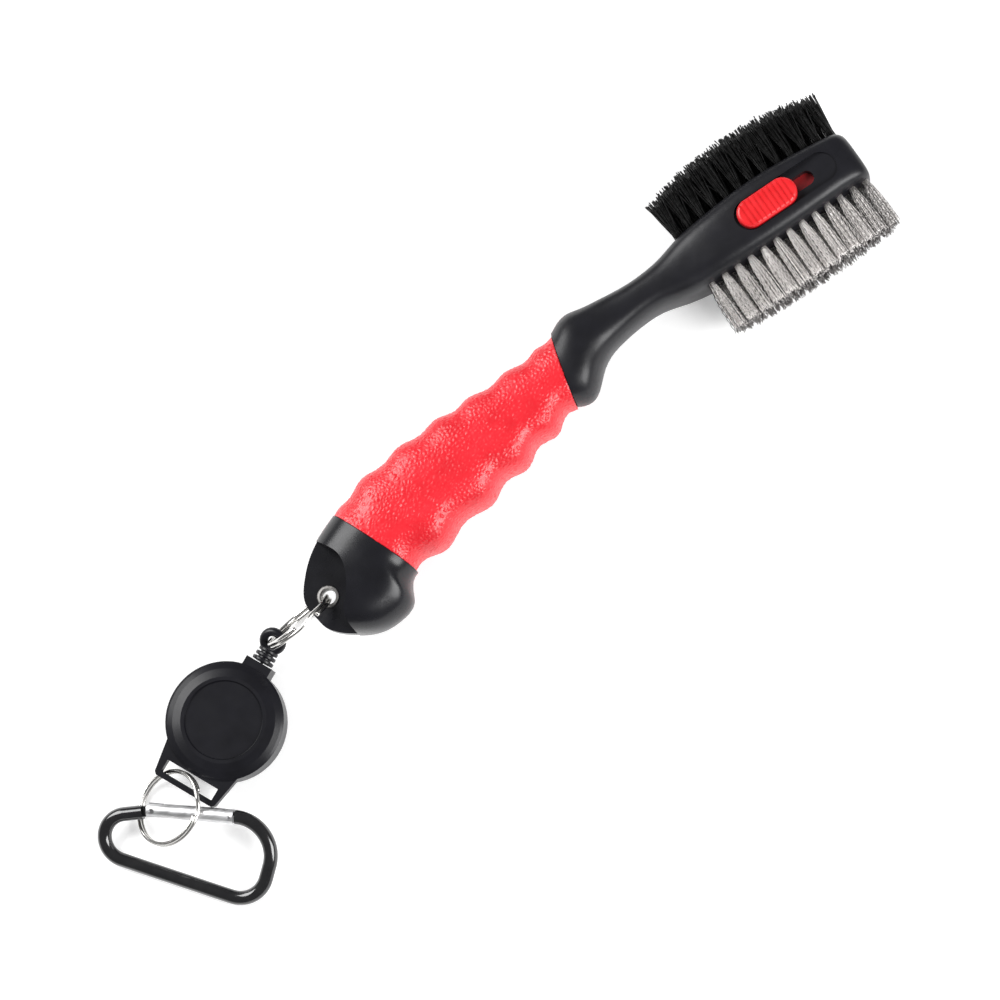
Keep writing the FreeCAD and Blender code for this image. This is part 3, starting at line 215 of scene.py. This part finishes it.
def moulded_black(name, roughness, grain, specular=0.32):
    """Black moulded plastic: fine grain, with a slow change of gloss."""
    surface = Surface(name, (0.007, 0.007, 0.009), roughness)
    surface.vary_colour(surface.noise(6), (0.006, 0.006, 0.008), (0.009, 0.009, 0.012))
    surface.vary_roughness(surface.noise(5), roughness - 0.025, roughness + 0.025)
    surface.bump(surface.noise(0.35, 2.0), grain)
    surface.set("Specular IOR Level", specular)
    return surface.material


def red_plastic(name, first, second, roughness):
    """Red moulded plastic that wanders between two tones."""
    surface = Surface(name, first, roughness)
    surface.vary_colour(surface.noise(5), first, second)
    surface.vary_roughness(surface.noise(2), roughness - 0.05, roughness + 0.06)
    surface.bump(surface.noise(0.3, 2.0), 0.01)
    return surface.material


def grip_rubber():
    """Soft red rubber, with a slow change of tone and gloss."""
    surface = Surface("grip_rubber", (0.68, 0.012, 0.022), 0.34)
    surface.vary_colour(surface.noise(7), (0.64, 0.009, 0.018), (0.76, 0.018, 0.030))
    surface.vary_roughness(surface.noise(0.8), 0.28, 0.40)
    surface.bump(surface.noise(0.25, 2.0), 0.012)
    surface.set("Sheen Weight", 0.10)
    surface.set("Sheen Roughness", 0.4)
    surface.set("Sheen Tint", (1.0, 0.8, 0.8, 1.0))
    return surface.material


def nylon():
    """Black filament with a low sheen."""
    surface = Surface("nylon_filament", (0.004, 0.004, 0.004), 0.3)
    surface.vary_colour(surface.noise(2), (0.002, 0.002, 0.002), (0.009, 0.009, 0.009))
    surface.vary_roughness(surface.noise(1), 0.24, 0.4)
    surface.set("Specular IOR Level", 0.3)
    return surface.material


def metal(name, colour, roughness, streak=(1, 1, 1), grain=0.004):
    """Bare or plated metal, with a worn unevenness of gloss."""
    surface = Surface(name, colour, roughness, 1.0)
    darker = tuple(c * 0.86 for c in colour)
    surface.vary_colour(surface.noise(1.5, 3.0, streak), darker, colour)
    surface.vary_roughness(surface.noise(0.9, 3.0, streak), roughness * 0.7, roughness * 1.4)
    surface.bump(surface.noise(0.25, 2.0, streak), grain)
    return surface.material


# Painted shade on the wire: the dark tone low on the head, the bright tone on the top row.
WIRE_PAINTED_SHADE_TONES = (0.20, 0.19, 0.185), (0.88, 0.85, 0.83)
WIRE_PAINTED_SHADE_HEIGHTS = 0.55, 0.80
HEAD_HEIGHT = 22


def bristle_wire():
    """Bright wire on the top row and greyer wire below it: painted shade on the lower rows, so that the
    gaps between tufts look deep.
    """
    surface = Surface("bristle_wire", (0.8, 0.78, 0.76), 0.4, 0.88)
    # Painted shade: the wire's colour darkens towards the head's base.
    surface.vary_colour(surface.height_above_base(), *WIRE_PAINTED_SHADE_TONES, *WIRE_PAINTED_SHADE_HEIGHTS)
    surface.vary_roughness(surface.noise(0.7), 0.3, 0.5)
    return surface.material


def gloss_black(name):
    """Thick black enamel on the carabiner's rod."""
    surface = Surface(name, (0.008, 0.008, 0.009), 0.14)
    surface.vary_colour(surface.noise(4), (0.006, 0.006, 0.007), (0.012, 0.012, 0.013))
    surface.vary_roughness(surface.noise(3), 0.10, 0.20)
    surface.bump(surface.noise(0.8, 2.0), 0.006)
    surface.set("Coat Weight", 0.5)
    surface.set("Coat Roughness", 0.06)
    return surface.material


def braid():
    """Black woven cord."""
    surface = Surface("cord_braid", (0.015, 0.015, 0.016), 0.7)
    surface.vary_colour(surface.noise(0.6), (0.010, 0.010, 0.011), (0.030, 0.030, 0.032))
    surface.bump(surface.cells(0.35), 0.05)
    return surface.material


def pale_floor():
    """A white sheet that glows a little, so that only soft shadows show on it."""
    surface = Surface("floor", (0.93, 0.93, 0.93), 0.9)
    surface.set("Emission Color", (1, 1, 1, 1))
    surface.set("Emission Strength", 0.32)
    surface.vary_colour(surface.noise(300), (0.925, 0.925, 0.925), (0.935, 0.935, 0.935))
    return surface.material


def wear(obj, material):
    """Gives an object one material in place of its own."""
    obj.data.materials.clear()
    obj.data.materials.append(material)


# ---------------------------------------------------------------- geometry

def mesh_piece(name, points, faces):
    """An object from points in millimetres."""
    mesh = bpy.data.meshes.new(name)
    mesh.from_pydata([tuple(p) for p in np.asarray(points) * MM], [], faces)
    mesh.validate()
    mesh.shade_smooth()
    piece = bpy.data.objects.new(name, mesh)
    bpy.context.collection.objects.link(piece)
    return piece


def tube(path, radii, basis, sides, offset=0):
    """Points and faces of a capped tube along a path, each ring spanned by two given axes."""
    turns = 2 * math.pi * np.arange(sides) / sides
    points, faces = [], []
    for centre, radius, (first, second) in zip(path, radii, basis):
        for turn in turns:
            points.append(centre + radius * (math.cos(turn) * first + math.sin(turn) * second))
    rings = len(path)
    for ring in range(rings - 1):
        low, high = offset + ring * sides, offset + (ring + 1) * sides
        for side in range(sides):
            after = (side + 1) % sides
            faces.append((low + side, low + after, high + after, high + side))
    faces.append(tuple(offset + side for side in reversed(range(sides))))
    faces.append(tuple(offset + (rings - 1) * sides + side for side in range(sides)))
    return points, faces


# ---------------------------------------------------------------- bristles

TUFT_PITCH = 4.25
TUFT_COUNT = 13
TUFT_ROWS = 4
FIELD_CENTRE = 0.4
FIELD_HALF_LENGTH = 31
FIELD_HALF_DEPTH = 7.2
MID_HEIGHT = 11.75
TIP_DROOP, DROOP_START = 0.045, 8
TUFT_FLOOR = 6.6
TUFT_RADIUS = 0.98
HEAD_HALF_WIDTH = 9.2
GOLDEN_TURN = 2.39996

NYLON_COUNT, NYLON_RADIUS, NYLON_RINGS, NYLON_SIDES = 40, 0.18, 7, 5
NYLON_LENGTH, NYLON_CROWN = 23.3, -1.5
NYLON_FALL_BACK, NYLON_FALL_FRONT = 0.0052, 0.0040
STRAY_SHARE = 0.04
WIRE_COUNT, WIRE_RADIUS, WIRE_RINGS, WIRE_SIDES = 34, 0.1, 40, 4
WIRE_LENGTH, WIRE_FALL = 23.6, 0.0010
NYLON_FLARE, NYLON_TRIM = (0.7, 1.6), (-0.9, 0.35)
NYLON_LEAN, STRAY_LEAN, NYLON_CURL = (0.75, 0.6), (2.2, 1.4), 0.12
WIRE_FLARE, WIRE_TRIM, WIRE_LEAN = (0.85, 1.1), (-0.6, 0.25), 0.14
CRIMP_PITCH, CRIMP_SWING, CRIMP_ONSET = (1.7, 2.4), (0.09, 0.16), 6
ANY_TURN = (0, 6.28)


def tuft_places():
    """The (x, z) of each tuft: staggered rows, drawn together towards the head's ends."""
    for row in range(TUFT_ROWS):
        count = TUFT_COUNT if row % 2 else TUFT_COUNT - 1
        for number in range(count):
            along = (number - (count - 1) / 2) * TUFT_PITCH
            half_depth = FIELD_HALF_DEPTH * math.sqrt(1 - (along / FIELD_HALF_LENGTH) ** 2)
            middle = MID_HEIGHT - TIP_DROOP * max(0, along - DROOP_START)
            yield FIELD_CENTRE + along, middle + half_depth * (2 * row / (TUFT_ROWS - 1) - 1)


def spread_in_tuft(number, total, draw):
    """A place in the tuft's round root, spiralling out from its middle."""
    radius = TUFT_RADIUS * math.sqrt((number + 0.5) / total)
    turn = number * GOLDEN_TURN + draw.uniform(-0.3, 0.3)
    return radius * math.cos(turn), radius * math.sin(turn)


def nylon_reach(x):
    """How far the trimmed filaments reach from the head's middle plane."""
    if x < 0:
        return NYLON_LENGTH - NYLON_FALL_BACK * (x - NYLON_CROWN) ** 2
    return NYLON_LENGTH - NYLON_FALL_FRONT * x ** 2


def wire_reach(x):
    """How far the trimmed wires reach from the head's middle plane."""
    return WIRE_LENGTH - WIRE_FALL * x ** 2


def fibre_block(name, side, total, radius, rings, sides, course):
    """All tufts of one side as one mesh of thin tubes; course() gives each one's centreline."""
    draw = random.Random(SEED + side)
    points, faces = [], []
    axes = (np.array((1.0, 0, 0)), np.array((0, 0, -1.0 * side)))
    for x, z in tuft_places():
        for number in range(total):
            root = spread_in_tuft(number, total, draw)
            path = course(x, z, root, side, rings, draw)
            more, shells = tube(path, [radius] * rings, [axes] * rings, sides, len(points))
            points.extend(more)
            faces.extend(shells)
    return mesh_piece(name, points, faces)


def nylon_course(x, z, root, side, rings, draw):
    """A straight filament that leans a little out of its tuft."""
    flare = draw.uniform(*NYLON_FLARE)
    lean = [draw.gauss(0, width) for width in NYLON_LEAN]
    if draw.random() < STRAY_SHARE:
        lean = [draw.gauss(0, width) for width in STRAY_LEAN]
    curl = (draw.gauss(0, NYLON_CURL), draw.gauss(0, NYLON_CURL))
    tip = nylon_reach(x) + draw.uniform(*NYLON_TRIM)
    path = []
    for step in range(rings):
        t = step / (rings - 1)
        y = TUFT_FLOOR + (tip - TUFT_FLOOR) * t
        out = max(0.0, (y - HEAD_HALF_WIDTH) / (tip - HEAD_HALF_WIDTH))
        bow = 4 * out * (1 - out)
        path.append(
            np.array((
                x + root[0] * (1 + flare * out) + lean[0] * out + curl[0] * bow,
                side * y,
                z + root[1] * (1 + flare * out) + lean[1] * out + curl[1] * bow,
            ))
        )
    return path


def wire_course(x, z, root, side, rings, draw):
    """A crimped wire: a zigzag that grows clear of the hole, fanning out of its tuft."""
    flare = draw.uniform(*WIRE_FLARE)
    lean = (draw.gauss(0, WIRE_LEAN), draw.gauss(0, WIRE_LEAN))
    tip = wire_reach(x) + draw.uniform(*WIRE_TRIM)
    phase, plane = draw.uniform(*ANY_TURN), draw.uniform(*ANY_TURN)
    pitch, swing = draw.uniform(*CRIMP_PITCH), draw.uniform(*CRIMP_SWING)
    path = []
    for step in range(rings):
        t = step / (rings - 1)
        y = TUFT_FLOOR + (tip - TUFT_FLOOR) * t
        out = max(0.0, (y - HEAD_HALF_WIDTH) / (tip - HEAD_HALF_WIDTH))
        crimp = swing * min(1, out * CRIMP_ONSET) * math.sin(2 * math.pi * y / pitch + phase)
        spread = 1 + flare * (1 - (1 - out) ** 3)
        path.append(
            np.array((
                x + root[0] * spread + lean[0] * out + crimp * math.cos(plane),
                side * y,
                z + root[1] * spread + lean[1] * out + crimp * math.sin(plane),
            ))
        )
    return path


def add_bristles():
    """Filaments on the +Y side and wires on the -Y side, in place of the CAD tufts."""
    nylon_count = NYLON_COUNT
    wire_count = WIRE_COUNT
    nylon_piece = fibre_block(
        "nylon_filaments", 1, nylon_count, NYLON_RADIUS, NYLON_RINGS, NYLON_SIDES, nylon_course
    )
    wire_piece = fibre_block(
        "wire_filaments", -1, wire_count, WIRE_RADIUS, WIRE_RINGS, WIRE_SIDES, wire_course
    )
    for piece, node, slot, material in (
        (nylon_piece, "nylon_bristles", "nylon_black", nylon()),
        (wire_piece, "wire_bristles", "bristle_wire", bristle_wire()),
    ):
        wear(piece, material)
        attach(piece, "brush")
        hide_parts(node)


# ---------------------------------------------------------------- split rings

RING_RADIUS = 10.4
RING_WIRE = 0.6
RING_STEPS = 220
JOG = math.radians(17)
LAYER = 0.56
RING_SIDES = 14
END_TAPER = 0.8
BRUSH_RING_HEADING, BRUSH_RING_LEAN, BRUSH_RING_ENDS = 185.8, 20, 100
HOOK_RING_HEADING, HOOK_RING_LEAN, HOOK_RING_ENDS = -52, 30, 20


def ring_course():
    """Two turns of wire, flat but for the jog where one turn crosses to the next."""
    path = []
    start, end = JOG * 1.15, 4 * math.pi - JOG * 1.15
    for step in range(RING_STEPS):
        turn = start + (end - start) * step / (RING_STEPS - 1)
        across = min(1, max(0, (turn - 2 * math.pi + JOG) / (2 * JOG)))
        layer = LAYER * (2 * across * across * (3 - 2 * across) - 1)
        radial = np.array((math.cos(turn), math.sin(turn), 0.0))
        path.append((radial * RING_RADIUS + np.array((0, 0, layer)), radial))
    return path


def add_split_ring(node, body, turn, jog_at, material):
    """The ring in its node's place; turn is its frame's rotation, jog_at where its ends meet."""
    low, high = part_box(node)
    centre = (np.array(low) + np.array(high)) / 2 / MM
    spin = np.array(turn @ Matrix.Rotation(math.radians(jog_at), 3, "Z"))
    course = ring_course()
    path = [centre + spin @ place for place, _ in course]
    axis = spin @ np.array((0, 0, 1.0))
    basis = [(spin @ radial, axis) for _, radial in course]
    radii = [RING_WIRE] * RING_STEPS
    for end in (0, -1):
        radii[end] = RING_WIRE * END_TAPER
    points, faces = tube(path, radii, basis, RING_SIDES)
    piece = mesh_piece(f"{node}_coil", points, faces)
    wear(piece, material)
    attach(piece, body)
    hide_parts(node)


def turn_about(axis, degrees):
    return Matrix.Rotation(math.radians(degrees), 3, axis)


def add_split_rings():
    nickel = metal("ring_nickel", (0.70, 0.69, 0.67), 0.16)
    brush_ring = turn_about("Z", BRUSH_RING_HEADING) @ turn_about("X", 90 - BRUSH_RING_LEAN)
    hook_ring = turn_about("Z", HOOK_RING_HEADING) @ turn_about("Y", -HOOK_RING_LEAN)
    add_split_ring("brush_split_ring", "brush_ring", brush_ring, BRUSH_RING_ENDS, nickel)
    add_split_ring("reel_split_ring", "hook_ring", hook_ring, HOOK_RING_ENDS, nickel)


# ---------------------------------------------------------------- cord

CORD_HEADING = math.radians(26)
CORD_RINGS, CORD_SIDES = 12, 12
CORD_SLACK = 0.96


def add_cord():
    """The short cord in the reel's mouth, as a straight tube in the CAD cord's place."""
    low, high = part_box("reel_cord")
    low, high = np.array(low) / MM, np.array(high) / MM
    radius = (high[2] - low[2]) / 2
    cosine, sine = math.cos(CORD_HEADING), math.sin(CORD_HEADING)
    along = np.array((cosine, sine, 0.0))
    across = np.array((-sine, cosine, 0.0))
    middle = (low + high) / 2
    reach = (high[0] - low[0] - 2 * radius * sine) / cosine / 2
    ends = middle - along * reach, middle + along * reach
    path = [ends[0] + (ends[1] - ends[0]) * n / (CORD_RINGS - 1) for n in range(CORD_RINGS)]
    basis = [(across, np.array((0, 0, 1.0)))] * CORD_RINGS
    points, faces = tube(path, [radius * CORD_SLACK] * CORD_RINGS, basis, CORD_SIDES)
    piece = mesh_piece("cord_stub", points, faces)
    wear(piece, braid())
    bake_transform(piece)
    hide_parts("reel_cord")


# ---------------------------------------------------------------- the carried-over CAD nodes

SHARP_ANGLE = math.radians(35)
PEBBLE_SIZE, PEBBLE_RELIEF = 1.15, 0.42
SKIN_STEP, QUICK_SKIN_STEP = 0.17, 0.6


def soften_edges(node, width):
    """A small round on the sharp edges of a node, its width in millimetres."""
    bevel = NODES[node].modifiers.new("soft_edges", "BEVEL")
    bevel.width = width * MM
    bevel.segments = 2
    bevel.limit_method = "ANGLE"
    bevel.angle_limit = SHARP_ANGLE
    bevel.harden_normals = False


def pebble_grip():
    """A fine even skin over the grip's own shape, raised into leather-like pebbles."""
    grip = NODES["grip_sleeve"]
    skin = grip.modifiers.new("skin", "REMESH")
    skin.mode = "VOXEL"
    skin.voxel_size = SKIN_STEP * MM
    skin.use_smooth_shade = True
    smooth = grip.modifiers.new("smooth", "SMOOTH")
    smooth.iterations = 6
    texture = bpy.data.textures.new("pebbles", "VORONOI")
    texture.noise_scale = PEBBLE_SIZE * MM
    texture.weight_1 = -1.0
    texture.weight_2 = 1.0
    texture.noise_intensity = 1.0
    raised = grip.modifiers.new("pebbles", "DISPLACE")
    raised.texture = texture
    raised.texture_coords = "LOCAL"
    raised.strength = PEBBLE_RELIEF * MM
    raised.mid_level = 0.5
    wear(grip, grip_rubber())


def dress_nodes():
    """A material for each CAD node; the small metal works wear plain steel."""
    body_black = moulded_black("body_black", roughness=0.36, grain=0.012)
    cap_black = moulded_black("cap_black", roughness=0.28, grain=0.008)
    reel_black = moulded_black("reel_black", roughness=0.30, grain=0.006, specular=0.24)
    loop_black = moulded_black("loop_black", roughness=0.30, grain=0.006)
    rod_black = gloss_black("rod_black")
    steel = metal("bright_steel", (0.62, 0.62, 0.63), 0.22)
    eyelet = metal("eyelet_nickel", (0.36, 0.35, 0.34), 0.38)
    spring = metal("spring_steel", (0.40, 0.42, 0.45), 0.3)
    gate = metal("gate_aluminium", (0.92, 0.92, 0.93), 0.40, (0.15, 1, 1))
    button = red_plastic("button_red", (0.66, 0.010, 0.014), (0.76, 0.020, 0.026), 0.32)
    carrier = red_plastic("carrier_red", (0.28, 0.005, 0.008), (0.34, 0.008, 0.012), 0.45)
    grey = moulded_black("spool_grey", roughness=0.5, grain=0.01)
    worn = {
        "brush_frame": body_black,
        "head_back_cover": body_black,
        "end_cap": cap_black,
        "reel_back_case": reel_black,
        "reel_front_cover": reel_black,
        "cord_end_loop": loop_black,
        "carabiner_body": rod_black,
        "slider_button": button,
        "slider_carrier": carrier,
        "ring_eyelet": eyelet,
        "carabiner_gate": gate,
        "cord_winding": braid(),
        "reel_spool": grey,
        "reel_spring": spring,
        "gate_spring": spring,
    }
    for node, obj in NODES.items():
        if node != "grip_sleeve":
            wear(obj, worn.get(node, steel))
    pebble_grip()
    soften_edges("end_cap", 0.4)
    soften_edges("reel_back_case", 0.2)
    soften_edges("reel_front_cover", 0.2)
    soften_edges("slider_button", 0.15)


# ---------------------------------------------------------------- the whole scene

add_camera()
add_world(strength=0.22)
wear(add_floor(), pale_floor())
add_area_light("left_box", place=(-560, 760, 780), size=700, watts=15)
add_area_light("right_box", place=(470, -820, 760), size=700, watts=17)
dress_nodes()
add_bristles()
add_split_rings()
add_cord()
